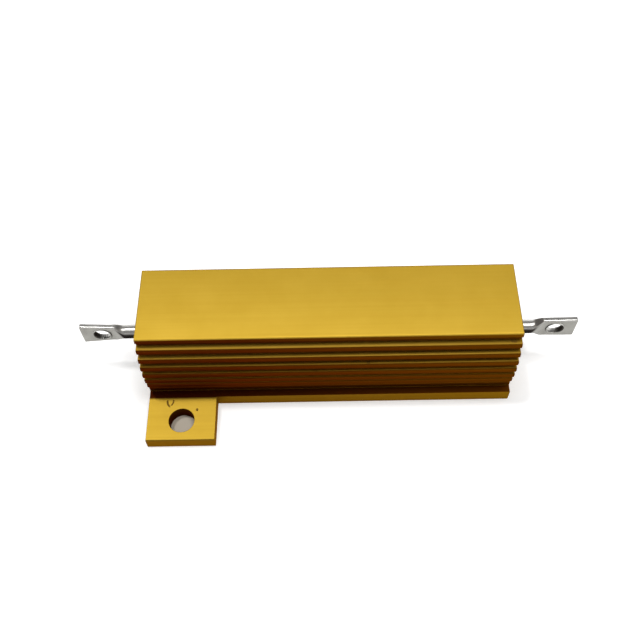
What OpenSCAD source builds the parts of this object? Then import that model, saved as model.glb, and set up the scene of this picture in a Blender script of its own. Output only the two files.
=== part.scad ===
// Aluminium housed power resistor with two diagonal mounting lugs.
//
// X runs along the housing, Y across it and Z up. The origin is the middle of the mounting
// face, so the part stands on Z = 0. All sizes are in millimetres.
//
// The housing is one finned extrusion. Its base flange is milled back on both sides until
// only a lug is left at two opposite corners. A wound ceramic core lies in the bore, with
// a steel cap pressed on each end and a terminal welded to each cap, and the bore is
// filled round it with a hard potting compound.

/* [Housing] */
// Length of the housing
body_l = 50; // [46:0.5:60]
// Height from the mounting face to the flat top
body_h = 14.5; // [14:0.1:17]
// Width across the widest pair of fins
body_w = 14.1; // [13.4:0.05:14.6]
// Radius of the arc that the tips of the fins follow
bulge_r = 16; // [14:0.5:30]
// Height of the bore's axis above the mounting face
axis_z = 7.25; // [6.9:0.05:7.6]
// Diameter of the bore that holds the wound core
bore_d = 10; // [9.2:0.1:10.4]

/* [Fins] */
// Number of fins on each side, under the lip of the flat top
fin_count = 7; // [4:1:8]
// Thickness of the lip and of each fin
fin_t = 1.05; // [0.7:0.05:1.2]
// How far the fins stand out from the wall behind them
fin_depth = 0.7; // [0.5:0.05:1]
// Rounding of the corners of the lip and the fins
fin_r = 0.3; // [0.05:0.05:0.3]

/* [Flange and lugs] */
// Thickness of the base flange and its lugs
flange_t = 2.1; // [1.8:0.1:2.6]
// Width of the base where the flange is milled back
base_w = 14.9; // [14.7:0.1:16]
// Width over the two lugs
lug_span = 27.9; // [26.5:0.1:30]
// Length of each lug along the housing
lug_l = 9.35; // [8.5:0.05:12]
// Diameter of the mounting holes
hole_d = 3.5; // [3:0.1:3.8]
// Distance from the end of the housing to the centre of a mounting hole
hole_inset_x = 4.7; // [4:0.1:5.5]
// Distance from the outer edge of a lug to the centre of its hole
hole_inset_y = 3; // [2.6:0.1:3.8]
// Rounding of the long edges of the flange
flange_r = 0.25; // [0.05:0.05:0.4]

/* [Wound core] */
// Diameter of the ceramic core
core_d = 6; // [5.4:0.1:6.6]
// Distance from the ends of the housing to the ends of the ceramic core
core_inset = 5; // [3.5:0.25:8]
// Chamfer on the core's ends
core_chamfer = 0.3; // [0.1:0.05:0.5]
// Depth of the caps that are pressed on the core
cap_l = 5; // [4:0.25:7]
// Wall thickness of the caps
cap_wall = 0.4; // [0.3:0.05:0.5]
// Diameter of the resistance wire
wire_d = 0.4; // [0.25:0.05:0.5]
// Distance between neighbouring turns of the wire
wire_pitch = 1.3; // [1:0.05:1.8]

/* [Terminals] */
// How far each terminal stands out of the housing
terminal_out = 9; // [8:0.25:12]
// Length of each terminal that stays round outside the housing
round_out = 3; // [1.5:0.25:3.5]
// Length over which the round pin is squeezed flat
squeeze_l = 2; // [1.5:0.25:2.5]
// Diameter of the round pin
pin_d = 1.9; // [1.5:0.05:2.2]
// Height of the flattened blade
blade_h = 3.9; // [3.4:0.1:4.6]
// Thickness of the flattened blade
blade_t = 0.75; // [0.6:0.05:1]
// Rounding of the blade's outer corners
blade_r = 0.3; // [0.1:0.05:0.6]
// Diameter of the eye through the blade
eye_d = 2.2; // [1.6:0.1:2.4]
// Distance from the blade's end to the centre of the eye
eye_inset = 2.8; // [2.4:0.1:3]
// Diameter of the welded foot on the pin
foot_d = 3; // [2.4:0.1:4]
// Height of the welded foot
foot_t = 0.5; // [0.3:0.05:0.8]

/* [Potting] */
// How far the potting stops short of the housing's ends
potting_recess = 0.4; // [0.2:0.05:1]
// How far the potting's end sags towards the pin
potting_dish = 0.25; // [0.1:0.05:0.5]

/* [Fits] */
// Clearance between a piece and the piece it sits in
seat_gap = 0.02; // [0.01:0.01:0.05]

/* [Hidden] */

eps = 0.01;
round_fn = 96;
corner_fn = 32;

end_x = body_l / 2;
fin_pitch = (body_h - flange_t - fin_t) / fin_count;
bulge_centre = bulge_r - body_w / 2;
hole_x = end_x - hole_inset_x;
hole_y = lug_span / 2 - hole_inset_y;

core_end = end_x - core_inset;
cap_bore_r = core_d / 2 + seat_gap;
cap_r = cap_bore_r + cap_wall;
cap_floor_x = core_end + seat_gap;
cap_face_x = cap_floor_x + cap_wall;
cap_mouth_x = core_end - cap_l;

wire_segments = 16;
wire_sides = 6;
wire_ramp_l = wire_pitch;
wire_end_x = cap_mouth_x + cap_l / 2;
wire_turns = 2 * wire_end_x / wire_pitch;
wire_rings = round(wire_turns * wire_segments);
wound_r = core_d / 2 + wire_d + 3 * seat_gap;
capped_r = cap_r + wire_d + 3 * seat_gap;

neck_x = end_x + round_out;
blade_x = neck_x + squeeze_l;
tip_x = end_x + terminal_out;
eye_x = tip_x - eye_inset;
loft_sides = 32;
loft_rings = 10;
loft_tuck = 0.25;

potting_x = end_x - potting_recess;

// ---------------------------------------------------------------- helpers

// Half the width of the finned sides at height z: an arc that is widest at the bore's axis
function reach(z) = sqrt(pow(bulge_r, 2) - pow(z - axis_z, 2)) - bulge_centre;

// A slow start and a slow end between 0 and 1
function ease(t) = t * t * (3 - 2 * t);

function clamp(v, low, high) = max(low, min(high, v));

// A bar with rounded corners, centred on the origin
module rounded_bar(w, h, r) {
    square([w - 2 * r, h], center = true);
    square([w, h - 2 * r], center = true);
    for (x = [-1, 1], y = [-1, 1])
        translate([x * (w / 2 - r), y * (h / 2 - r)])
            circle(r, $fn = corner_fn);
}

// Moves a shape from the origin to the bore's axis, with its own Z turned along X
module on_axis() {
    translate([0, 0, axis_z])
        rotate([0, 90, 0])
            children();
}

function middle(ring) = [for (point = ring) 1] * ring / len(ring);

// A loft through a list of rings, each with the same number of points
module loft(rings) {
    n = len(rings[0]);
    last = len(rings) - 1;
    first_middle = n * len(rings);
    polyhedron(
        points = [for (ring = rings) each ring, middle(rings[0]), middle(rings[last])],
        faces = [
            for (k = [0 : n - 1])
                [k, (k + 1) % n, first_middle],
            for (i = [0 : last - 1], k = [0 : n - 1])
                each [[i * n + k, (i + 1) * n + k, i * n + (k + 1) % n],
                      [(i + 1) * n + k, (i + 1) * n + (k + 1) % n, i * n + (k + 1) % n]],
            for (k = [0 : n - 1])
                [last * n + (k + 1) % n, last * n + k, first_middle + 1]
        ],
        convexity = 4);
}

// ---------------------------------------------------------------- housing

// The wall behind the fins, which follows the same bulge
module web_outline() {
    intersection() {
        translate([-body_w / 2, 0])
            square([body_w, body_h - fin_t / 2]);
        intersection_for (side = [-1, 1])
            translate([side * bulge_centre, axis_z])
                circle(bulge_r - fin_depth, $fn = round_fn);
    }
}

// The lip of the flat top and the fins below it, each reaching the bulge. The lowest fin
// stands on the flange, so its lower corners lie inside it.
module fin_outlines() {
    for (i = [0 : fin_count]) {
        z = body_h - fin_t / 2 - i * fin_pitch;
        sunk = i == fin_count ? flange_t / 2 : 0;
        translate([0, z - sunk / 2])
            rounded_bar(2 * reach(z), fin_t + sunk, fin_r);
    }
}

module flange_outline() {
    translate([0, flange_t / 2])
        rounded_bar(lug_span, flange_t, flange_r);
}

// The extruded length, before any machining
module extrusion() {
    rotate([90, 0, 90])
        linear_extrude(body_l, center = true) {
            web_outline();
            fin_outlines();
            flange_outline();
        }
}

// The cut that takes the front flange away from beside the lug
module milled_side() {
    cut_h = flange_t + fin_t;
    translate([lug_l - end_x, -lug_span, -eps])
        cube([body_l, lug_span - base_w / 2, cut_h + eps]);
}

// The front cut and hole are repeated, half a turn round, at the back
module housing() {
    color("goldenrod")
        difference() {
            extrusion();
            for (turn = [0, 180])
                rotate(turn) {
                    milled_side();
                    translate([-hole_x, -hole_y, -eps])
                        cylinder(d = hole_d, h = flange_t + 2 * eps, $fn = round_fn);
                }
            on_axis()
                cylinder(d = bore_d, h = body_l + 2 * eps, center = true, $fn = round_fn);
        }
}

// ---------------------------------------------------------------- wound core

module ceramic_core() {
    color("ivory")
        on_axis()
            rotate_extrude($fn = round_fn)
                polygon([
                    [0, -core_end],
                    [core_d / 2 - core_chamfer, -core_end],
                    [core_d / 2, core_chamfer - core_end],
                    [core_d / 2, core_end - core_chamfer],
                    [core_d / 2 - core_chamfer, core_end],
                    [0, core_end]
                ]);
}

// A deep-drawn cap on the right end of the core, with its closed end outwards
module end_cap() {
    on_axis()
        rotate_extrude($fn = round_fn)
            difference() {
                translate([0, cap_mouth_x])
                    square([cap_r, cap_face_x - cap_mouth_x]);
                translate([-eps, cap_mouth_x - eps])
                    square([cap_bore_r + eps, cap_floor_x - cap_mouth_x + eps]);
                translate([cap_r - cap_wall, cap_face_x - cap_wall])
                    difference() {
                        square(2 * cap_wall);
                        circle(cap_wall, $fn = corner_fn);
                    }
            }
}

module end_cap_left() {
    color("silver")
        rotate(180)
            end_cap();
}

module end_cap_right() {
    color("silver")
        end_cap();
}

// Radius of the surface under the wire: the core, a short ramp, and then the cap
function seat_r(x) =
    let (rise = clamp((abs(x) - cap_mouth_x + 1.5 * wire_ramp_l) / wire_ramp_l, 0, 1))
    core_d / 2 + (cap_r - core_d / 2) * ease(rise);

// Centre of the wire: its flat segments touch the seat at their middles
function lay_r(x) = (seat_r(x) + wire_d / 2 + seat_gap) / cos(180 / wire_segments);

// One ring of the wire, in the plane through the core's axis
function wire_ring(i) =
    let (a = 360 * i / wire_segments,
         x = -wire_end_x + wire_pitch * i / wire_segments,
         r = lay_r(x))
    [for (k = [0 : wire_sides - 1])
        let (b = 360 * (k + 0.5) / wire_sides,
             reach_out = r + wire_d / 2 * cos(b))
        [x + wire_d / 2 * sin(b), reach_out * cos(a), axis_z + reach_out * sin(a)]];

// The winding starts on one cap, runs along the core and ends on the other cap
module resistance_wire() {
    color("peru")
        loft([for (i = [0 : wire_rings]) wire_ring(i)]);
}

// ---------------------------------------------------------------- terminals

// A ring that is the pin's circle at t = 0 and the blade's rectangle at t = 1. It is a hair
// smaller than both, so that the loft ends inside them.
function squeezed_ring(x, t) =
    let (mix = ease(t), pin_r = pin_d / 2 - eps)
    [for (k = [0 : loft_sides - 1])
        let (a = 360 * k / loft_sides,
             flat_y = (blade_t / 2 - eps) * clamp(sqrt(2) * cos(a), -1, 1),
             flat_z = (blade_h / 2 - eps) * clamp(sqrt(2) * sin(a), -1, 1))
        [x,
         (1 - mix) * pin_r * cos(a) + mix * flat_y,
         axis_z + (1 - mix) * pin_r * sin(a) + mix * flat_z]];

// The stretch where the press has squeezed the round pin flat, tucked into pin and blade
module squeezed_neck() {
    loft([squeezed_ring(neck_x - loft_tuck, 0),
          for (i = [0 : loft_rings]) squeezed_ring(neck_x + squeeze_l * i / loft_rings, i / loft_rings),
          squeezed_ring(blade_x + loft_tuck, 1)]);
}

// The flat outer end. Only its outer corners are round.
module blade() {
    blade_l = tip_x - blade_x;
    rotate([90, 0, 0])
        linear_extrude(blade_t, center = true) {
            translate([blade_x + blade_l / 2, axis_z])
                rounded_bar(blade_l, blade_h, blade_r);
            translate([blade_x, axis_z - blade_h / 2])
                square([blade_l / 2, blade_h]);
        }
}

// The hole punched through the blade, which takes the wire
module eye() {
    translate([eye_x, 0, axis_z])
        rotate([90, 0, 0])
            cylinder(d = eye_d, h = 2 * pin_d, center = true, $fn = round_fn);
}

// The right terminal: a welded foot and a round pin, squeezed flat outside the housing
module terminal() {
    difference() {
        union() {
            on_axis()
                translate([0, 0, cap_face_x]) {
                    cylinder(d1 = foot_d, d2 = pin_d, h = foot_t, $fn = round_fn);
                    cylinder(d = pin_d, h = neck_x - cap_face_x, $fn = round_fn);
                }
            squeezed_neck();
            blade();
        }
        eye();
    }
}

module terminal_left() {
    color("gainsboro")
        rotate(180)
            terminal();
}

module terminal_right() {
    color("gainsboro")
        terminal();
}

// ---------------------------------------------------------------- potting

// Half of the room that the wound core takes in the potting, as a profile from the middle out
function room_profile() = let (
        step_x = cap_mouth_x - 1.5 * wire_ramp_l - wire_d,
        wall_x = cap_face_x + seat_gap,
        pin_r = pin_d / 2 + seat_gap,
        foot_r = foot_d / 2 + seat_gap
    )
    [[wound_r, 0], [wound_r, step_x], [capped_r, step_x + wire_ramp_l], [capped_r, wall_x],
     [foot_r, wall_x], [pin_r, wall_x + foot_t], [pin_r, end_x + eps]];

module room() {
    half = room_profile();
    right = [for (p = half) p];
    left = [for (i = [len(half) - 1 : -1 : 1]) [half[i][0], -half[i][1]]];
    rotate_extrude($fn = round_fn)
        polygon([[0, -end_x - eps], each left, each right, [0, end_x + eps]]);
}

// The hollow that the compound leaves as it sets
module dish() {
    rim_r = bore_d / 2;
    dish_r = (pow(rim_r, 2) + pow(potting_dish, 2)) / (2 * potting_dish);
    translate([0, 0, potting_x - potting_dish + dish_r])
        sphere(dish_r, $fn = round_fn);
}

module potting() {
    color("dimgray")
        on_axis()
            difference() {
                cylinder(r = bore_d / 2 - seat_gap, h = 2 * potting_x, center = true,
                         $fn = round_fn);
                room();
                dish();
                mirror([0, 0, 1])
                    dish();
            }
}

housing();
potting();
ceramic_core();
resistance_wire();
end_cap_left();
end_cap_right();
terminal_left();
terminal_right();
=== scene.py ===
# %% [markdown]
# # A gold power resistor, dressed around its solids
#
# This notebook dresses a small electrical part: a wirewound resistor in a finned aluminium
# housing, with a flat terminal at each end. The solids already exist and are loaded as a fixed
# frame. Blender's job is the looks: edges, finishes, wear and light. All lengths are in metres,
# so `mm` below turns millimetres into scene units.

# %% Load the frame
import math

import bmesh
import bpy
import numpy as np
from mathutils import Matrix, Vector


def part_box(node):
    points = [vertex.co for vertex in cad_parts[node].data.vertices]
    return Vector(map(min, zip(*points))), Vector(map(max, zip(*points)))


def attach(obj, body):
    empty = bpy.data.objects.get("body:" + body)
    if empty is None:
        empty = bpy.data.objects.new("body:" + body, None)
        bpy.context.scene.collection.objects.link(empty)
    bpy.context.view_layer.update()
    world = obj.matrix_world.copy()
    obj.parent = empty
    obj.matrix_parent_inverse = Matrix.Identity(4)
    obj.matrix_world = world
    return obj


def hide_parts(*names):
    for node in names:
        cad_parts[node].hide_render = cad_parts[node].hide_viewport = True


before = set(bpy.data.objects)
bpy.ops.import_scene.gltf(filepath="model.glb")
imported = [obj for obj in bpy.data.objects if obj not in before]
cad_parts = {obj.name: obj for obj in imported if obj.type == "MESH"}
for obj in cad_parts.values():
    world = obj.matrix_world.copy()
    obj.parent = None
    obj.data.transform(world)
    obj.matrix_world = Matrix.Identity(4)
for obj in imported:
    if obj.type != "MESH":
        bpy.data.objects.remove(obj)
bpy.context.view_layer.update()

mm = 0.001
print("nodes:", ", ".join(sorted(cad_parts)))

# %% [markdown]
# ## The places that everything else is measured from
#
# A dressed piece has to sit exactly on its solid. The safest way is to read every place from
# the solids' own boxes: the bore's axis is the middle height of a terminal, and the housing's
# box gives its ends and its flat top. A few sizes that no box gives are named beside them: the
# flange with its lugs, the holes, the flat top's half width and the spacing of the fins.

# %% Read the places from the frame
house_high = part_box("housing")[1]
blade_low, blade_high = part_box("terminal_right")
axis_z = (blade_low.z + blade_high.z) / 2
end_x = house_high.x
top_z = house_high.z
tip_x = blade_high.x
flange_z = 2.1 * mm
base_half_y = 7.45 * mm
hole_x, hole_y, hole_r = 20.3 * mm, 10.95 * mm, 1.75 * mm
top_half_y = 5.5 * mm
fin_pitch = 1.621 * mm
eye_x = tip_x - 2.8 * mm
print("bore axis at", round(axis_z / mm, 3), "mm, housing ends at", round(end_x / mm, 3), "mm")

# %% [markdown]
# ## The camera
#
# A product shot of a long, low part works well from above and in front, close enough for some
# perspective: the sides lean in towards the base. A real camera is rarely held level, so this
# one has a small turn and a small roll. The three rotations are applied one after the other:
# roll about the view, tilt about X, turn about Z.

# %% Set up the camera
def place_camera(name, position, tilt_deg, turn_deg, roll_deg, lens_mm):
    """A camera that looks down by 90 - tilt degrees, turned about Z and rolled about its view."""
    data = bpy.data.cameras.new(name)
    data.lens = lens_mm
    data.sensor_width = 36
    data.clip_start = 0.005
    data.clip_end = 10
    camera = bpy.data.objects.new(name, data)
    bpy.context.scene.collection.objects.link(camera)
    turn = Matrix.Rotation(math.radians(turn_deg), 4, "Z")
    tilt = Matrix.Rotation(math.radians(tilt_deg), 4, "X")
    roll = Matrix.Rotation(math.radians(roll_deg), 4, "Z")
    camera.matrix_world = Matrix.Translation(position) @ turn @ tilt @ roll
    bpy.context.scene.camera = camera
    return camera


camera = place_camera("camera", Vector((-0.32, -61.60, 108.80)) * mm, tilt_deg=31.90,
                      turn_deg=0.75, roll_deg=-1.64, lens_mm=48.34)
print("camera is", round(camera.location.length / mm), "mm from the part's origin")

# %% [markdown]
# ## Building meshes from arrays
#
# Most new pieces here are surfaces: a closed outline carried along a path. Two helpers do the
# joining up. `grid_faces` makes the quads between neighbouring rings as one array, with no
# loop over vertices, and `new_piece` puts points and faces into an object.

# %% Helpers that make meshes
def grid_faces(rings, around, close_path=False):
    """Quads between ring i and ring i + 1, closed around each ring (and along the path)."""
    last = rings if close_path else rings - 1
    i, k = np.meshgrid(np.arange(last), np.arange(around), indexing="ij")
    j, m = (i + 1) % rings, (k + 1) % around
    quads = np.stack([i * around + k, j * around + k, j * around + m, i * around + m], axis=-1)
    return quads.reshape(-1, 4)


def new_piece(name, points, faces, smooth_deg=None):
    """Make an object at the origin from points and faces, with its faces turned outwards."""
    mesh = bpy.data.meshes.new(name)
    mesh.from_pydata(np.asarray(points).tolist(), [], [list(face) for face in faces])
    mesh.validate()
    made = bmesh.new()
    made.from_mesh(mesh)
    bmesh.ops.recalc_face_normals(made, faces=made.faces)
    made.to_mesh(mesh)
    made.free()
    if smooth_deg is not None:
        shade_smooth(mesh, smooth_deg)
    piece = bpy.data.objects.new(name, mesh)
    bpy.context.scene.collection.objects.link(piece)
    return piece


def closed_tube(name, rings, smooth_deg):
    """A skin over rings of points (rings, points, 3), closed with a flat face at each end."""
    count, around = rings.shape[:2]
    sides = [list(face) for face in grid_faces(count, around)]
    first = list(range(around))
    last = [(count - 1) * around + k for k in range(around)]
    return new_piece(name, rings.reshape(-1, 3), sides + [first, last], smooth_deg)


def shade_smooth(mesh, angle_deg):
    """Smooth faces, with edges sharper than the angle kept crisp."""
    mesh.shade_smooth()
    mesh.set_sharp_from_angle(angle=math.radians(angle_deg))


def apply_modifiers(piece):
    """Replace a piece's mesh with its finished one, so that no modifier is left on it."""
    graph = bpy.context.evaluated_depsgraph_get()
    finished = bpy.data.meshes.new_from_object(piece.evaluated_get(graph))
    piece.modifiers.clear()
    piece.data = finished
    return piece


def join(pieces):
    """One object from several."""
    made = bmesh.new()
    for piece in pieces:
        made.from_mesh(piece.data)
    for other in pieces[1:]:
        bpy.data.objects.remove(other)
    made.to_mesh(pieces[0].data)
    made.free()
    return pieces[0]


def dress(piece, material, node):
    """Give a piece its finish and its place: it rides on the part and stands for a solid."""
    piece.data.materials.clear()
    piece.data.materials.append(material)
    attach(piece, "root")
    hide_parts(node)
    return piece


print("quads between 3 rings of 4 points:", len(grid_faces(3, 4)))

# %% [markdown]
# ## Materials are small networks
#
# Each finish below is a Principled shader fed by a few noise textures on Object coordinates,
# so a pattern stays where it is when the part is seen from another side. The helpers keep the
# wiring short: one makes a material, one makes a noise, one turns a number into a range.

# %% Helpers that wire materials
class Finish:
    """A material with a Principled shader, and short ways to feed it."""

    def __init__(self, name):
        self.material = bpy.data.materials.new(name)
        self.material.use_nodes = True
        self.nodes = self.material.node_tree.nodes
        self.links = self.material.node_tree.links
        self.shader = self.nodes["Principled BSDF"]
        self.place = self.nodes.new("ShaderNodeTexCoord").outputs["Object"]

    def set(self, **values):
        """Set sockets of the shader that are the same all over."""
        for name, value in values.items():
            self.shader.inputs[name.replace("_", " ")].default_value = value

    def add(self, kind, inputs=None, **settings):
        """Add a node, set its properties, and link or set its inputs."""
        node = self.nodes.new(kind)
        for name, value in settings.items():
            setattr(node, name, value)
        for name, value in (inputs or {}).items():
            if isinstance(value, bpy.types.NodeSocket):
                self.links.new(value, node.inputs[name])
            else:
                node.inputs[name].default_value = value
        return node

    def feed(self, name, socket):
        """Let a socket drive an input of the shader."""
        self.links.new(socket, self.shader.inputs[name])

    def split(self, vector):
        """The three parts of a vector."""
        return self.add("ShaderNodeSeparateXYZ", {0: vector}).outputs[:]

    def facing(self):
        """Which way the surface looks, as three parts from -1 to 1."""
        return self.split(self.nodes.new("ShaderNodeTexCoord").outputs["Normal"])

    def stretched(self, scale):
        """Object coordinates stretched by a different amount along each axis."""
        return self.add("ShaderNodeMapping", {"Vector": self.place, "Scale": scale}).outputs[0]

    def noise(self, vector, scale, detail=4.0, roughness=0.55):
        """Noise whose grains are about 1 / scale metres across."""
        return self.add("ShaderNodeTexNoise", {
            "Vector": vector, "Scale": scale, "Detail": detail, "Roughness": roughness,
        }).outputs["Fac"]

    def ramp(self, value, low, high, out_low=0.0, out_high=1.0):
        """Spread the part of a value between low and high over out_low to out_high."""
        return self.add("ShaderNodeMapRange", {
            "Value": value, "From Min": low, "From Max": high,
            "To Min": out_low, "To Max": out_high,
        }).outputs["Result"]

    def math(self, operation, a, b=0.0):
        """One sum with numbers or sockets."""
        return self.add("ShaderNodeMath", {0: a, 1: b}, operation=operation).outputs[0]

    def times(self, a, b):
        """Both masks at once."""
        return self.math("MULTIPLY", a, b)

    def either(self, a, b):
        """The stronger of two masks."""
        return self.math("MAXIMUM", a, b)

    def vector(self, operation, a, b=(0, 0, 0)):
        """One sum with vectors; a length or a distance comes out as a number."""
        node = self.add("ShaderNodeVectorMath", {0: a, 1: b}, operation=operation)
        return node.outputs["Value" if operation in ("LENGTH", "DISTANCE") else "Vector"]

    def mix(self, amount, a, b):
        """A colour between a and b."""
        node = self.add("ShaderNodeMix", data_type="RGBA")
        for socket, value in zip((node.inputs[0], node.inputs[6], node.inputs[7]),
                                 (amount, a, b)):
            if isinstance(value, bpy.types.NodeSocket):
                self.links.new(value, socket)
            else:
                socket.default_value = value
        return node.outputs[2]

    def bump(self, height, strength, distance, normal=None):
        """Dents and ridges of up to `distance` metres."""
        inputs = {"Height": height, "Strength": strength, "Distance": distance}
        if normal is not None:
            inputs["Normal"] = normal
        return self.add("ShaderNodeBump", inputs).outputs["Normal"]


def colour(r, g, b):
    """An opaque colour in linear light."""
    return (r, g, b, 1.0)


print("a material helper with", len([m for m in dir(Finish) if m[0] != "_"]), "shortcuts")

# %% [markdown]
# ## Gold anodised aluminium
#
# Anodising grows a hard clear layer on the metal, which is then dyed. The result is still a
# metal mirror under a coloured film, only blurred: so the shader is metallic, with a medium
# roughness. Extruding drags faint lines along the housing, which a noise stretched along X
# gives.
#
# Painted shade and painted light lie over the dye, each a mask from 0 to 1 between two colours:
#
# - painted shade makes faces that look sideways brown, most of all between the fins, and it is
#   paler to the right, where more light falls
# - painted shade darkens sheltered corners, which the Ambient Occlusion node finds, and keeps the
#   finned band at least half dark; the fins' upper faces, which are like shelves, are painted
#   lighter than the grooves, the upper ones most
# - a painted shadow lies on the flange at the foot of the fins, and painted shade darkens the
#   walls of the holes
# - the top's back edge and its ends are a darker grey-brown

# %% The housing's finish
def dye_with_painted_shade(gold, dye):
    """The dye with painted shade: brown on the faces that look sideways, dark in sheltered
    places.
    """
    x, _, z = gold.split(gold.place)
    look_x, look_y, look_z = gold.facing()

    # Painted shade: faces that look sideways, and the flange's ends, go brown, less on the lip's
    # round.
    sideways = gold.ramp(gold.math("ABSOLUTE", look_y), 0.05, 0.65)
    endways = gold.times(gold.ramp(gold.math("ABSOLUTE", look_x), 0.3, 0.8),
                         gold.ramp(z, flange_z - 0.05 * mm, flange_z + 0.1 * mm, 1, 0))
    finned = gold.ramp(z, flange_z - 0.1 * mm, flange_z + 0.3 * mm, 0.80, 1)
    rounded_lip = gold.ramp(z, top_z - 0.17 * mm, top_z - 0.07 * mm, 1, 0.15)
    dark = gold.times(gold.times(gold.either(sideways, endways), finned), rounded_lip)
    # The painted shade is paler to the right, where more light falls.
    side_shade = gold.mix(gold.ramp(x, -12 * mm, 24 * mm), colour(0.070, 0.014, 0.001),
                     colour(0.135, 0.055, 0.002))

    # Painted shade in sheltered places, found by Ambient Occlusion; shelves are painted lighter.
    shelter = gold.add("ShaderNodeAmbientOcclusion", {"Distance": 2 * mm}, samples=12,
                       only_local=True)
    shelf = gold.times(gold.times(gold.ramp(look_z, 0.3, 0.7),
                                  gold.ramp(z, 9.8 * mm, 11.6 * mm, 0.26, 0.48)),
                       gold.ramp(z, flange_z + 0.2 * mm, flange_z + 0.5 * mm))
    unshaded = gold.either(gold.ramp(shelter.outputs["AO"], 0.04, 0.40), shelf)
    # Painted shade keeps the finned band at least half dark, on every side.
    off_fins = gold.either(gold.ramp(z, top_z - 0.9 * mm, top_z - 0.7 * mm, 0.50, 1),
                           gold.ramp(z, flange_z + 0.1 * mm, flange_z + 0.3 * mm, 1, 0))
    unshaded = gold.math("MINIMUM", unshaded, off_fins)
    # The mask's low end is a dark brown painted shade.
    return gold.mix(unshaded, colour(0.08, 0.016, 0.001), gold.mix(dark, dye, side_shade))


def foot_shadow(gold):
    """A mask and a colour for the painted shadow on the flange where the fins stand on it."""
    x, y, z = gold.split(gold.place)
    beside = gold.ramp(gold.math("ABSOLUTE", y), base_half_y, base_half_y + 0.35 * mm, 1, 0)
    low = gold.ramp(z, flange_z + 0.1 * mm, flange_z + 0.3 * mm, 1, 0)
    upward = gold.ramp(gold.facing()[2], 0.5, 0.9)
    # The painted shadow is paler to the right, where more light falls.
    return (gold.times(gold.times(low, beside), upward),
            gold.mix(gold.ramp(x, -20 * mm, 22 * mm), colour(0.055, 0.008, 0.001),
                     colour(0.120, 0.035, 0.002)))


def hole_walls(gold):
    """A mask for painted shade on the walls of the holes, darker further down."""
    folded = gold.vector("MULTIPLY", gold.vector("ABSOLUTE", gold.place), (1, 1, 0))
    from_hole = gold.vector("DISTANCE", folded, (hole_x, hole_y, 0))
    wall = gold.times(gold.ramp(from_hole, hole_r + 0.07 * mm, hole_r + 0.11 * mm, 1, 0),
                      gold.ramp(gold.facing()[2], 0.3, 0.8, 1, 0))
    return gold.times(wall, gold.ramp(gold.split(gold.place)[2], 0.6 * mm, 2 * mm, 0.98, 0.72))


def greyed_top_edges(gold, cloud):
    """A mask for the flat top's back edge and its two ends, broken up by a noise."""
    x, y, z = gold.split(gold.place)
    back = gold.ramp(y, top_half_y - 0.25 * mm, top_half_y)
    end = gold.ramp(gold.math("ABSOLUTE", x), end_x - 0.15 * mm, end_x - 0.03 * mm)
    edge = gold.times(gold.either(back, end), gold.ramp(z, top_z - 0.4 * mm, top_z - 0.15 * mm))
    return gold.times(edge, gold.ramp(cloud, 0.35, 0.6, 0.35, 0.9))


def gold_anodised():
    """Dye, painted shade and greyer top edges in layers, over a blurred metal with faint lines
    along X.
    """
    gold = Finish("gold_anodised")
    gold.set(Metallic=1.0, Specular_Tint=colour(0.70, 0.42, 0.06))
    lines = gold.noise(gold.stretched((40, 2500, 2500)), 1.0, detail=3)
    cloud = gold.noise(gold.place, 220, detail=3)
    grain = gold.noise(gold.place, 9000, detail=2)

    dye = gold.mix(gold.ramp(cloud, 0.35, 0.7), colour(0.635, 0.415, 0.045),
                   colour(0.665, 0.440, 0.052))
    film = dye_with_painted_shade(gold, dye)
    # A painted shadow on the flange at the foot of the fins.
    foot, foot_shadow_colour = foot_shadow(gold)
    film = gold.mix(foot, film, foot_shadow_colour)
    # Painted shade on the walls of the holes.
    film = gold.mix(hole_walls(gold), film, colour(0.045, 0.012, 0.002))
    # The top's back edge and its ends are a darker grey-brown.
    film = gold.mix(greyed_top_edges(gold, cloud), film, colour(0.20, 0.12, 0.04))
    gold.feed("Base Color", film)

    gold.feed("Roughness", gold.ramp(lines, 0.3, 0.7, 0.52, 0.60))
    fine = gold.bump(grain, 0.25, 0.01 * mm)
    gold.feed("Normal", gold.bump(lines, 0.15, 0.012 * mm, fine))
    return gold.material


gold_finish = gold_anodised()
print("made", gold_finish.name)

# %% [markdown]
# ## Tinned steel
#
# The terminals are tinned steel: a grey metal with a cloudy polish, with a painted highlight
# where it looks up. Painted shade darkens the pins below and beside the neck, and the outer wall
# of each eye. The painted shade is not a metal, so it takes the shine away with the colour.

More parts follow.
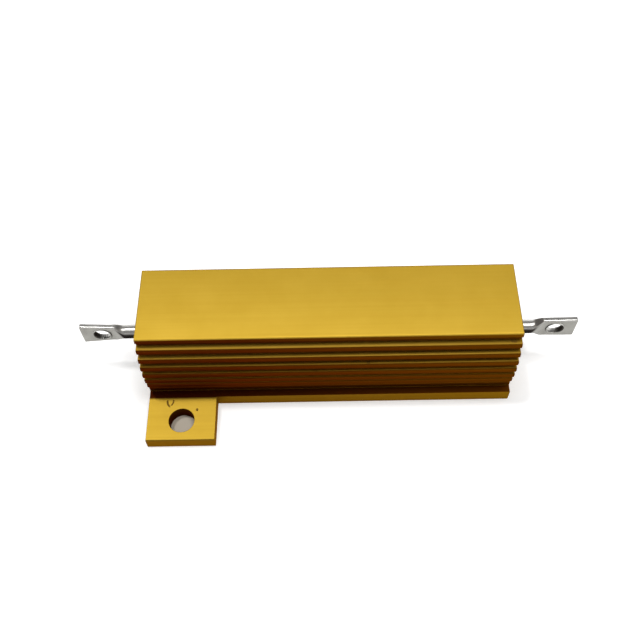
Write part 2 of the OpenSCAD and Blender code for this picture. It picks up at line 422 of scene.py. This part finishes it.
# %% The terminals' finish
def tin_plate():
    """Clouded tin, painted paler where it looks up, with painted shade on the pins and in the
    eyes.
    """
    tin = Finish("tin_plate")
    cloud = tin.noise(tin.place, 500, detail=4)
    grain = tin.noise(tin.stretched((800, 3000, 3000)), 1.0, detail=3)
    look_x, look_y, look_z = tin.facing()
    x, _, z = tin.split(tin.place)
    along = tin.math("ABSOLUTE", x)
    above = tin.math("SUBTRACT", z, axis_z)

    handled = tin.mix(tin.ramp(cloud, 0.35, 0.7), colour(0.215, 0.210, 0.190),
                      colour(0.30, 0.295, 0.27))
    # Painted highlight: the tin is paler where it looks up.
    tin_with_highlight = tin.mix(tin.ramp(look_z, 0.2, 0.7), handled, colour(0.53, 0.52, 0.495))

    # Painted shade under the pins, on faces that look towards the housing, and in the eyes.
    slanted = tin.math("SUBTRACT", along, tin.times(above, 0.6))
    pin_end = end_x + 3 * mm
    under_pin = tin.times(tin.ramp(look_z, 0.40, 0.75, 1, 0),
                          tin.ramp(slanted, pin_end - 0.1 * mm, pin_end + 0.3 * mm, 0.95, 0))
    looks_home = tin.ramp(tin.times(x, look_x), -14 * mm, -6 * mm, 0.75, 0)
    outer_wall = tin.times(tin.ramp(along, eye_x + 0.15 * mm, eye_x + 0.6 * mm),
                           tin.ramp(along, eye_x + 1.2 * mm, eye_x + 1.3 * mm, 1, 0))
    in_eye = tin.times(tin.ramp(tin.math("ABSOLUTE", above), 1.3 * mm, 1.4 * mm, 1, 0),
                       tin.ramp(tin.math("ABSOLUTE", look_y), 0.3, 0.6, 0.9, 0))
    painted_shade = tin.either(tin.either(under_pin, looks_home), tin.times(outer_wall, in_eye))
    unshaded = tin.math("SUBTRACT", 1.0, painted_shade)

    # The painted shade is a dull dark colour with no metal shine.
    tin.feed("Base Color", tin.mix(painted_shade, tin_with_highlight, colour(0.020, 0.015, 0.014)))
    tin.feed("Roughness", tin.either(tin.ramp(cloud, 0.3, 0.7, 0.24, 0.38), painted_shade))
    tin.feed("Metallic", unshaded)
    tin.feed("Specular IOR Level", tin.times(unshaded, 0.5))
    tin.feed("Normal", tin.bump(grain, 0.3, 0.015 * mm))
    return tin.material


tin_finish = tin_plate()
print("made", tin_finish.name)

# %% [markdown]
# ## Potting, ceramic and alloy
#
# The other finishes are plainer, because little of them shows: a rough dark compound, a pale
# ceramic, and bare metal for the winding and the caps.

# %% The other finishes
def potting_compound():
    """A dull, dark filled resin."""
    pot = Finish("potting_compound")
    pot.set(Roughness=0.75)
    cloud = pot.noise(pot.place, 700, detail=6)
    pot.feed("Base Color", pot.mix(pot.ramp(cloud, 0.3, 0.75), colour(0.060, 0.056, 0.052),
                                   colour(0.13, 0.125, 0.115)))
    pot.feed("Normal", pot.bump(cloud, 0.6, 0.05 * mm))
    return pot.material


def steatite():
    """A pale, matt ceramic."""
    clay = Finish("steatite")
    clay.set(Roughness=0.6)
    cloud = clay.noise(clay.place, 900, detail=5)
    clay.feed("Base Color", clay.mix(cloud, colour(0.80, 0.76, 0.68), colour(0.88, 0.85, 0.79)))
    clay.feed("Normal", clay.bump(cloud, 0.3, 0.02 * mm))
    return clay.material


def plain_metal(name, base, roughness):
    """Bare metal with a cloudy polish."""
    metal = Finish(name)
    metal.set(Metallic=1.0)
    cloud = metal.noise(metal.place, 600, detail=4)
    darker = colour(*[0.8 * c for c in base])
    metal.feed("Base Color", metal.mix(cloud, darker, colour(*base)))
    metal.feed("Roughness", metal.ramp(cloud, 0.3, 0.7, roughness - 0.06, roughness + 0.06))
    return metal.material


potting_finish = potting_compound()
core_finish = steatite()
wire_finish = plain_metal("resistance_alloy", (0.52, 0.47, 0.41), 0.3)
cap_finish = plain_metal("plated_steel", (0.58, 0.58, 0.56), 0.35)
print("made", ", ".join(f.name for f in (potting_finish, core_finish, wire_finish, cap_finish)))

# %% [markdown]
# ## The housing
#
# The housing's solid already has its lip, fins, flange and lugs. A real edge is never perfectly
# sharp: tumbling and anodising round it a little, and the round catches a thin line of light.
# So the solid is copied, its flat faces are made whole, and every sharp edge is rounded by a
# bevel, which leaves the flat faces beside it flat.

# %% The housing
def merged_copy(node, name):
    """A copy of a solid's mesh with its loose triangles joined and its flat faces made whole."""
    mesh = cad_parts[node].data.copy()
    mesh.name = name
    made = bmesh.new()
    made.from_mesh(mesh)
    bmesh.ops.remove_doubles(made, verts=made.verts, dist=0.0005 * mm)
    bmesh.ops.dissolve_limit(made, angle_limit=math.radians(0.5), verts=made.verts,
                             edges=made.edges)
    made.to_mesh(mesh)
    made.free()
    copy = bpy.data.objects.new(name, mesh)
    bpy.context.scene.collection.objects.link(copy)
    return copy


def soften_edges(piece, width, angle_deg=40, segments=2):
    """Round every edge sharper than the angle, with the flat faces beside it kept flat."""
    shade_smooth(piece.data, 35)
    bevel = piece.modifiers.new("edges", "BEVEL")
    bevel.width = width
    bevel.segments = segments
    bevel.limit_method = "ANGLE"
    bevel.angle_limit = math.radians(angle_deg)
    bevel.harden_normals = True
    return piece


housing = merged_copy("housing", "dressed_housing")
print("merged housing:", len(housing.data.vertices), "points,", len(housing.data.polygons),
      "faces")
soften_edges(housing, 0.12 * mm, segments=3)
apply_modifiers(housing)
dress(housing, gold_finish, "housing")
print("dressed housing:", len(housing.data.polygons), "faces")

# %% [markdown]
# ## Marks of use
#
# A tool has left two short hooked dents behind the hole and a dot beside it. Dirt sits in them,
# in one spot on the fins and in a nick at the end of the top groove. Each mark is a low lens of
# dirt along a short path, thickest in the middle.

# %% Lay marks along short paths
def streak(path, width, height=0.03):
    """A closed lens along a path in mm: its width is width * sqrt(1 - (2 s - 1)^4)."""
    path = np.asarray(path, dtype=float)
    s = np.linspace(0, 1, 20)
    known = np.linspace(0, 1, len(path))
    middle = np.stack([np.interp(s, known, path[:, k]) for k in range(3)], axis=1)
    ahead = np.gradient(middle, axis=0)[:, :2]
    ahead /= np.linalg.norm(ahead, axis=1)[:, None]
    half = width / 2 * np.sqrt(np.clip(1 - (2 * s - 1) ** 4, 0.02, 1))
    b = np.arange(12) / 12 * 2 * np.pi
    rings = np.empty((len(s), len(b), 3))
    rings[..., 0] = middle[:, None, 0] - (half * ahead[:, 1])[:, None] * np.cos(b)
    rings[..., 1] = middle[:, None, 1] + (half * ahead[:, 0])[:, None] * np.cos(b)
    rings[..., 2] = middle[:, None, 2] + np.where(np.sin(b) > 0, height, 0.01) * np.sin(b)
    return closed_tube("mark", rings * mm, 60)


def hook(x, y, reach, curl, z):
    """A short path along Y that curls along X towards its far end."""
    t = np.linspace(0, 1, 9)
    return np.stack([x + curl * t ** 3, y + reach * t, 0 * t + z], axis=1)


def grime():
    """Dull brown dirt, paler in places."""
    dirt = Finish("grime")
    dirt.set(Roughness=0.8, Specular_IOR_Level=0.1)
    cloud = dirt.noise(dirt.place, 4000, detail=4)
    dirt.feed("Base Color", dirt.mix(cloud, colour(0.10, 0.045, 0.004),
                                     colour(0.26, 0.15, 0.02)))
    dirt.feed("Normal", dirt.bump(cloud, 0.5, 0.03 * mm))
    return dirt.material


lug_top = flange_z / mm
first_fin, third_fin = [(top_z - k * fin_pitch) / mm for k in (1, 3)]
marks = join([
    streak(hook(-22.45, -7.85, -1.10, 0.45, lug_top), 0.26),
    streak(hook(-21.60, -7.80, -0.90, -0.32, lug_top), 0.21),
    streak([(-18.42, -9.38, lug_top), (-18.10, -9.40, lug_top)], 0.40),
    streak([(4.95, -6.62, third_fin), (5.40, -6.66, third_fin)], 0.34),
    streak([(23.45, -5.56, first_fin), (24.35, -5.62, first_fin)], 0.52),
])
marks.data.materials.append(grime())
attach(marks, "root")
print("marks with", len(marks.data.polygons), "faces")

# %% [markdown]
# ## Terminals, squeezed from round pins
#
# Each terminal starts as a tinned steel pin. Outside the housing a press squeezes it flat and
# punches an eye in it, and the metal that leaves the thickness goes into the height, so the
# blade fans out a little towards its end. That is one closed outline carried along X: a circle
# at the pin and a thin rounded rectangle at the blade, with every size easing from one to the
# other. No hand bends two wires the same, so each terminal gets its own lift at the end.

# %% The section of a terminal
def ease(t):
    """A slow start and a slow end: 3 t^2 - 2 t^3, held to 0 and 1 outside."""
    t = np.clip(t, 0.0, 1.0)
    return t * t * (3 - 2 * t)


def between(t, low, high):
    """The value a share t of the way from low to high."""
    return low + (high - low) * t


def rounded_section(half_y, half_z, corner, count=96):
    """Points spaced evenly round a rounded rectangle, counted from the middle of its +Y side.

    The corner arcs are y = (half_y - corner) + corner cos t, z likewise with sin t. With
    both halves equal to the corner, the outline is a circle.
    """
    t = np.linspace(0, 2 * np.pi, 721)
    y = np.sign(np.round(np.cos(t), 9)) * (half_y - corner) + corner * np.cos(t)
    z = np.sign(np.round(np.sin(t), 9)) * (half_z - corner) + corner * np.sin(t)
    length = np.concatenate([[0], np.cumsum(np.hypot(np.diff(y), np.diff(z)))])
    even = np.arange(count) / count * length[-1]
    return np.stack([np.interp(even, length, y), np.interp(even, length, z)], axis=1)


print("a pin's section:", rounded_section(0.95, 0.95, 0.95).round(2)[:3].tolist())

# %% [markdown]
# ## Along the terminal
#
# The outline's sizes follow the terminal from the foot, which is welded to the cap, to the
# blade's tip. The stations along X are close together where the shape changes and far apart
# where it doesn't. The working lengths from here on are in millimetres.

# %% Carry it along the terminal
pin_r = 0.95
blade_half_t = 0.375
eye_r = 1.1
foot_x, foot_r = blade_low.x / mm, blade_high.y / mm
tip = tip_x / mm
house_end = end_x / mm
axis = axis_z / mm
eye_at = eye_x / mm
blade_half_h = (blade_high.z - blade_low.z) / 2 / mm
blade_corner = 0.22
tip_round = 0.1
neck_x = house_end + 3
blade_x = neck_x + 2


def rise(x, root, lift):
    """Height of the terminal's middle line above the axis, in two eased steps.

    The pin bends up by `root` over 1.3 mm where it leaves the housing, and the rest of `lift`
    follows on the way to the tip.
    """
    bent = root * ease((x - house_end + 0.8) / 1.3)
    return bent + (lift - root) * ease((x - house_end) / (tip - house_end))


def terminal_rings(root, lift, shoulder):
    """Rings from the welded foot to the blade's tip, for a terminal that points along +X.

    Height: pin radius until neck_x, then it eases to a shoulder over 1.6 mm and grows on
    evenly to the tip. Thickness: eases from the pin to the blade, from 0.2 mm before neck_x.
    `root` raises the pin where it leaves the housing, `lift` raises the tip, and `shoulder` is
    the blade's height at its start as a share of its height at the tip.
    """
    foot = foot_x + np.array([0.0, 0.04, 0.46, 0.50])
    pin = np.linspace(foot_x + 0.62, neck_x - 0.5, 6)
    neck = np.linspace(neck_x - 0.4, blade_x + 0.8, 30)
    blade = np.linspace(blade_x + 0.9, tip - 0.35, 16)
    end = tip - tip_round + tip_round * np.sin(np.linspace(0, np.pi / 2, 5))
    stations = np.concatenate([foot, pin, neck, blade, end])

    flat = ease((stations - neck_x + 0.2) / (blade_x - neck_x))
    half_y = between(flat, pin_r, blade_half_t)
    grown = between(np.clip((stations - blade_x) / (tip - blade_x), 0, 1), shoulder, 1.0)
    half_z = between(ease((stations - neck_x) / 1.6), pin_r, blade_half_h * grown)
    into_tip = np.clip(stations - tip + tip_round, 0, tip_round)
    rounding = tip_round - np.sqrt(np.clip(tip_round ** 2 - into_tip ** 2, 0, 1))
    half_z = half_z - rounding
    half_y = half_y - 0.6 * rounding
    corner = between(flat, pin_r, blade_corner)
    foot_rows = stations < foot_x + 0.51
    foot_size = foot_r - 0.05 * np.array([1, 0, 0, 1])
    half_y[foot_rows] = half_z[foot_rows] = corner[foot_rows] = foot_size
    corner = np.minimum(corner, np.minimum(half_y, half_z))

    rings = []
    for x, hy, hz, r in zip(stations, half_y, half_z, corner):
        section = rounded_section(hy, hz, r)
        raised = rise(x, root, lift)
        rings.append(np.stack([0 * section[:, 0] + x, section[:, 0],
                               axis + raised + section[:, 1]], axis=1))
    return np.array(rings)


print("a straight terminal is", len(terminal_rings(0.0, 0.0, 1.0)), "rings of 96 points")

# %% [markdown]
# ## Press marks, the eye and its rim
#
# The press leaves the blade slightly uneven, which a sum of a few sine waves gives. Then comes
# the punch: a cylinder is taken out of the blade, and the metal that it pushed aside stands up
# round the eye as a low rim whose height and width wander.

# %% Press, punch and finish both terminals
def dents(points, depth, size, seed):
    """Small smooth hollows and swells, as a press leaves them: a sum of eight sine waves."""
    draw = np.random.default_rng(seed)
    height = np.zeros(len(points))
    for _ in range(8):
        wave = draw.normal(size=3) / size
        height += np.sin(points @ wave + draw.uniform(0, 2 * np.pi))
    return depth * height / 8


def burr(name, side_y, centre_z, seed):
    """The rim that punching raises round the eye: a low ring whose height and width wander.

    Around angle a the ring stands h(a) high and w(a) wide, each a sum of a few sines, and
    its section is a half ellipse that starts at the eye's edge.
    """
    draw = np.random.default_rng(seed)
    a = np.arange(64) / 64 * 2 * np.pi
    wander = sum(np.sin(k * a + draw.uniform(0, 6.3)) / k for k in (1, 2, 3, 5, 8, 11))
    high = 0.075 + 0.035 * wander
    wide = 0.22 + 0.06 * np.roll(wander, 9)
    b = np.linspace(0, np.pi, 9)
    radius = eye_r + 0.01 + wide[:, None] * (1 - np.cos(b)) / 2
    out = blade_half_t - 0.03 + (np.maximum(high, 0.02)[:, None] + 0.03) * np.sin(b)
    x = eye_at + radius * np.cos(a)[:, None]
    z = centre_z + radius * np.sin(a)[:, None]
    points = np.stack([x, side_y * out, z], axis=-1)
    return new_piece(name, points.reshape(-1, 3) * mm, grid_faces(64, 9, close_path=True), 50)


def cut(piece, tool):
    """Take one closed piece out of another and throw the tool away."""
    boolean = piece.modifiers.new("cut", "BOOLEAN")
    boolean.operation = "DIFFERENCE"
    boolean.solver = "EXACT"
    boolean.object = tool
    apply_modifiers(piece)
    bpy.data.objects.remove(tool)
    return piece


def make_terminal(name, root, lift, shoulder, seed):
    """A dressed terminal for the +X end; the other end gets it turned half round."""
    rings = terminal_rings(root, lift, shoulder)
    outside = rings[:, 0, 0] > neck_x
    press = dents(rings[outside].reshape(-1, 3), 0.035, 0.9, seed)
    rings[outside] += press.reshape(rings[outside].shape[:2])[..., None] * np.array([0, 1, 0.6])
    terminal = closed_tube(name, rings * mm, 35)
    centre_z = axis + rise(eye_at, root, lift)
    a = np.arange(48) / 48 * 2 * np.pi
    circle = np.stack([eye_at + eye_r * np.cos(a), 0 * a, centre_z + eye_r * np.sin(a)], axis=1)
    punch = closed_tube("punch", np.stack([circle - [0, 2, 0], circle + [0, 2, 0]]) * mm, None)
    cut(terminal, punch)
    soften_edges(terminal, 0.04 * mm, angle_deg=50)
    apply_modifiers(terminal)
    rims = [burr("burr", side, centre_z, seed + k) for k, side in enumerate((-1, 1))]
    return join([terminal] + rims)


terminal_right = make_terminal("dressed_terminal_right", 0.0, -0.10, 0.93, seed=3)
terminal_left = make_terminal("dressed_terminal_left", 0.46, 0.28, 0.80, seed=8)
terminal_left.data.transform(Matrix.Rotation(math.pi, 4, "Z"))
for piece, node in ((terminal_right, "terminal_right"), (terminal_left, "terminal_left")):
    shade_smooth(piece.data, 38)
    dress(piece, tin_finish, node)
    print(piece.name, "has", len(piece.data.polygons), "faces")

# %% [markdown]
# ## Potting that crept up the walls
#
# The compound is poured in soft. It wets the bore and the pin, so it climbs a little at both
# and sags between them, and a few air bubbles break at its face. The solid below has the sag;
# this skin adds the climb, the bubbles and an uneven face. Its height over the radius is two
# falling exponentials, one from each wall.

# %% A skin on each end of the potting
def potting_skin(name, side, seed):
    """A thin closed skin from the pin to the bore, in mm from the compound's face.

    Over the radius r it sags by 0.25 (1 - (r / 5)^2) and climbs by 0.28 exp(-gap / 0.14) at
    the bore and by 0.32 exp(-gap / 0.18) at the pin, where gap is the distance to that wall.
    """
    bore, below = 4.98, 0.9
    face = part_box("potting")[1].x / mm
    r = pin_r - 0.05 + (bore - pin_r + 0.05) * (0.5 - 0.5 * np.cos(np.linspace(0, np.pi, 40)))
    a = np.arange(96) / 96 * 2 * np.pi
    sag = -0.25 * (1 - (r / 5.0) ** 2)
    climb = 0.28 * np.exp(-(bore - r) / 0.14) + 0.32 * np.exp(-(r - pin_r) / 0.18)
    radius, angle = np.meshgrid(r, a, indexing="ij")
    y, z = radius * np.cos(angle), radius * np.sin(angle)
    flat = np.stack([0 * y, y, z], axis=-1).reshape(-1, 3)
    lumps = dents(flat, 0.09, 0.7, seed).reshape(y.shape)
    draw = np.random.default_rng(seed)
    pits = np.zeros_like(y)
    for _ in range(9):
        at_r, at_a, size = draw.uniform(1.8, 4.4), draw.uniform(0, 6.3), draw.uniform(0.12, 0.3)
        away = np.hypot(y - at_r * np.cos(at_a), z - at_r * np.sin(at_a))
        pits -= 0.7 * size * np.clip(1 - (away / size) ** 2, 0, 1)
    top = face + (sag + climb)[:, None] + lumps + pits + 0.02
    under = np.full_like(top, face - below)
    outer = np.stack([side * top, y, axis + z], axis=-1)
    inner = np.stack([side * under, y * 0.999, axis + z * 0.999], axis=-1)
    rings = np.concatenate([outer, inner[::-1]])
    return new_piece(name, rings.reshape(-1, 3) * mm,
                     grid_faces(len(rings), len(a), close_path=True), 50)


for side, name in ((-1, "potting_skin_left"), (1, "potting_skin_right")):
    skin = potting_skin(name, side, seed=20 + side)
    skin.data.materials.append(potting_finish)
    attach(skin, "root")
    print(name, "has", len(skin.data.polygons), "faces")

# %% [markdown]
# ## The pieces that stay as their solids
#
# The rest is inside or plain enough already: the potting's body, the wound core, its wire and
# its caps. They keep their solids' meshes and only get a finish.

# %% Finish the nodes that keep their solids
kept = {
    "potting": potting_finish,
    "ceramic_core": core_finish,
    "resistance_wire": wire_finish,
    "end_cap_left": cap_finish,
    "end_cap_right": cap_finish,
}
for node, finish in kept.items():
    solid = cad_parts[node]
    solid.data.materials.clear()
    solid.data.materials.append(finish)
print("solids with a finish:", ", ".join(kept))

# %% [markdown]
# ## Floor, light and background
#
# The part stands on white paper that curves up into a wall all round, so no horizon shows from
# any side. One small lamp hangs almost overhead, a little behind and to the left, and throws a
# short, sharp shade on the lug. A larger one hangs above and to the right, and softens it. So
# every face that looks up is lit, and the finned front hangs in its own shade. A weak lamp from
# the right and a weak world fill in the rest.
#
# The paper is a plain white surface, lit and shaded like anything else, with a weak glow added
# for rays from the camera, from shiny surfaces and through clear ones. The glow grows away from
# the part: it lifts the paper to white further out, and leaves the shade beside the part. The
# paper under the holes has no glow, and its colour is a darker warm grey: painted shade and a
# painted warm light from the gold walls. Seen from below, the paper is clear, so that the
# underside shows.

# %% Paper that keeps its shade
def seen_rays(finish):
    """1 for rays from the camera, from a shiny surface or through a clear one, else 0."""
    path = finish.nodes.new("ShaderNodeLightPath")
    total = path.outputs["Is Camera Ray"]
    for name in ("Is Glossy Ray", "Is Transmission Ray"):
        total = finish.either(total, path.outputs[name])
    return total


def clear_from_below(paper):
    """Show the surface from its front only, by a transparent shader on its back."""
    back = paper.nodes.new("ShaderNodeNewGeometry").outputs["Backfacing"]
    clear = paper.nodes.new("ShaderNodeBsdfTransparent")
    both = paper.nodes.new("ShaderNodeMixShader")
    output = next(node for node in paper.nodes if node.type == "OUTPUT_MATERIAL")
    paper.links.new(back, both.inputs["Fac"])
    paper.links.new(paper.shader.outputs[0], both.inputs[1])
    paper.links.new(clear.outputs[0], both.inputs[2])
    paper.links.new(both.outputs[0], output.inputs["Surface"])


def white_paper(half_x, half_y, near_glow, far_glow):
    """Paper whose glow grows with the distance from a rectangle of 2 half_x by 2 half_y.

    Folded into one quarter by its absolute value, a place p lies max(p - half, 0) beyond the
    rectangle. The lugs are where x y is positive, and so are the two discs under their holes.
    """
    paper = Finish("white_paper")
    paper.set(Roughness=0.9, Emission_Color=colour(1, 1, 1))
    folded = paper.vector("ABSOLUTE", paper.place)
    beyond = paper.vector("SUBTRACT", folded, (half_x, half_y, 0))
    away = paper.vector("LENGTH", paper.vector("MAXIMUM", beyond))
    x, y, _ = paper.split(paper.place)
    from_hole = paper.vector("DISTANCE", folded, (hole_x, hole_y, 0))
    covered = paper.times(paper.ramp(paper.times(x, y), 0, 9 * mm * mm),
                          paper.ramp(from_hole, 2.0 * mm, 2.3 * mm, 1, 0))
    glow = paper.times(paper.ramp(away, 0, 9 * mm, near_glow, far_glow),
                       paper.math("SUBTRACT", 1.0, covered))
    # Painted shade and painted warm light from the gold walls on the paper under the holes.
    paper.feed("Base Color", paper.mix(covered, colour(0.82, 0.82, 0.82),
                                       colour(0.60, 0.53, 0.43)))
    paper.feed("Emission Strength", paper.times(glow, seen_rays(paper)))
    clear_from_below(paper)
    return paper.material


def paper_cove(radius, bend, height, finish):
    """A round sheet: flat out to radius - bend, then a quarter circle up, then a wall.

    It lies a hair below the part, so that the two flat faces don't fight.
    """
    turn = np.linspace(-np.pi / 2, 0, 16)
    r = np.concatenate([[0.02, 0.2], radius - bend + bend * np.cos(turn), [radius]])
    z = np.concatenate([[0, 0], bend + bend * np.sin(turn), [height]]) - 0.02 * mm
    a = np.arange(96) / 96 * 2 * np.pi
    rings = np.stack([r[:, None] * np.cos(a), r[:, None] * np.sin(a),
                      np.repeat(z[:, None], len(a), axis=1)], axis=-1)
    faces = [list(face) for face in grid_faces(len(r), len(a))] + [list(range(len(a)))[::-1]]
    cove = new_piece("paper", rings.reshape(-1, 3), faces, 60)
    cove.data.flip_normals()
    cove.data.materials.append(finish)
    return cove


paper = paper_cove(1.0, 0.35, 0.45, white_paper(end_x, base_half_y, 0.34, 0.66))
print("paper cove of", len(paper.data.polygons), "faces")

# %% [markdown]
# ## Lamps
#
# How bright a surface looks depends on its own colour and on the light that falls on it. The
# lamps are set so that the gold of the flat top comes out about as it is written above, and the
# world is kept weak, because an even light from all sides would wash out every shade.

# %% Lamps and world
def soft_box(name, position, size, watts):
    """A square lamp that faces the part; a bigger one gives a softer edge to the shade."""
    data = bpy.data.lights.new(name, "AREA")
    data.size = size
    data.energy = watts
    lamp = bpy.data.objects.new(name, data)
    lamp.location = position
    lamp.rotation_mode = "QUATERNION"
    lamp.rotation_quaternion = (-Vector(position)).to_track_quat("-Z", "Y")
    bpy.context.scene.collection.objects.link(lamp)
    return lamp


def make_world(level):
    """An even white world, weak enough to keep the shade."""
    world = bpy.data.worlds.new("studio")
    world.use_nodes = True
    back = world.node_tree.nodes["Background"]
    back.inputs["Color"].default_value = colour(1, 1, 1)
    back.inputs["Strength"].default_value = level
    bpy.context.scene.world = world


soft_box("key", (-0.26, 0.15, 1.15), 0.09, 3.9)
soft_box("above", (0.26, -0.05, 1.15), 0.36, 4.6)
soft_box("fill", (0.45, -0.20, 0.12), 0.20, 0.15)
make_world(0.25)
bpy.context.scene.view_settings.view_transform = "Standard"

# %% [markdown]
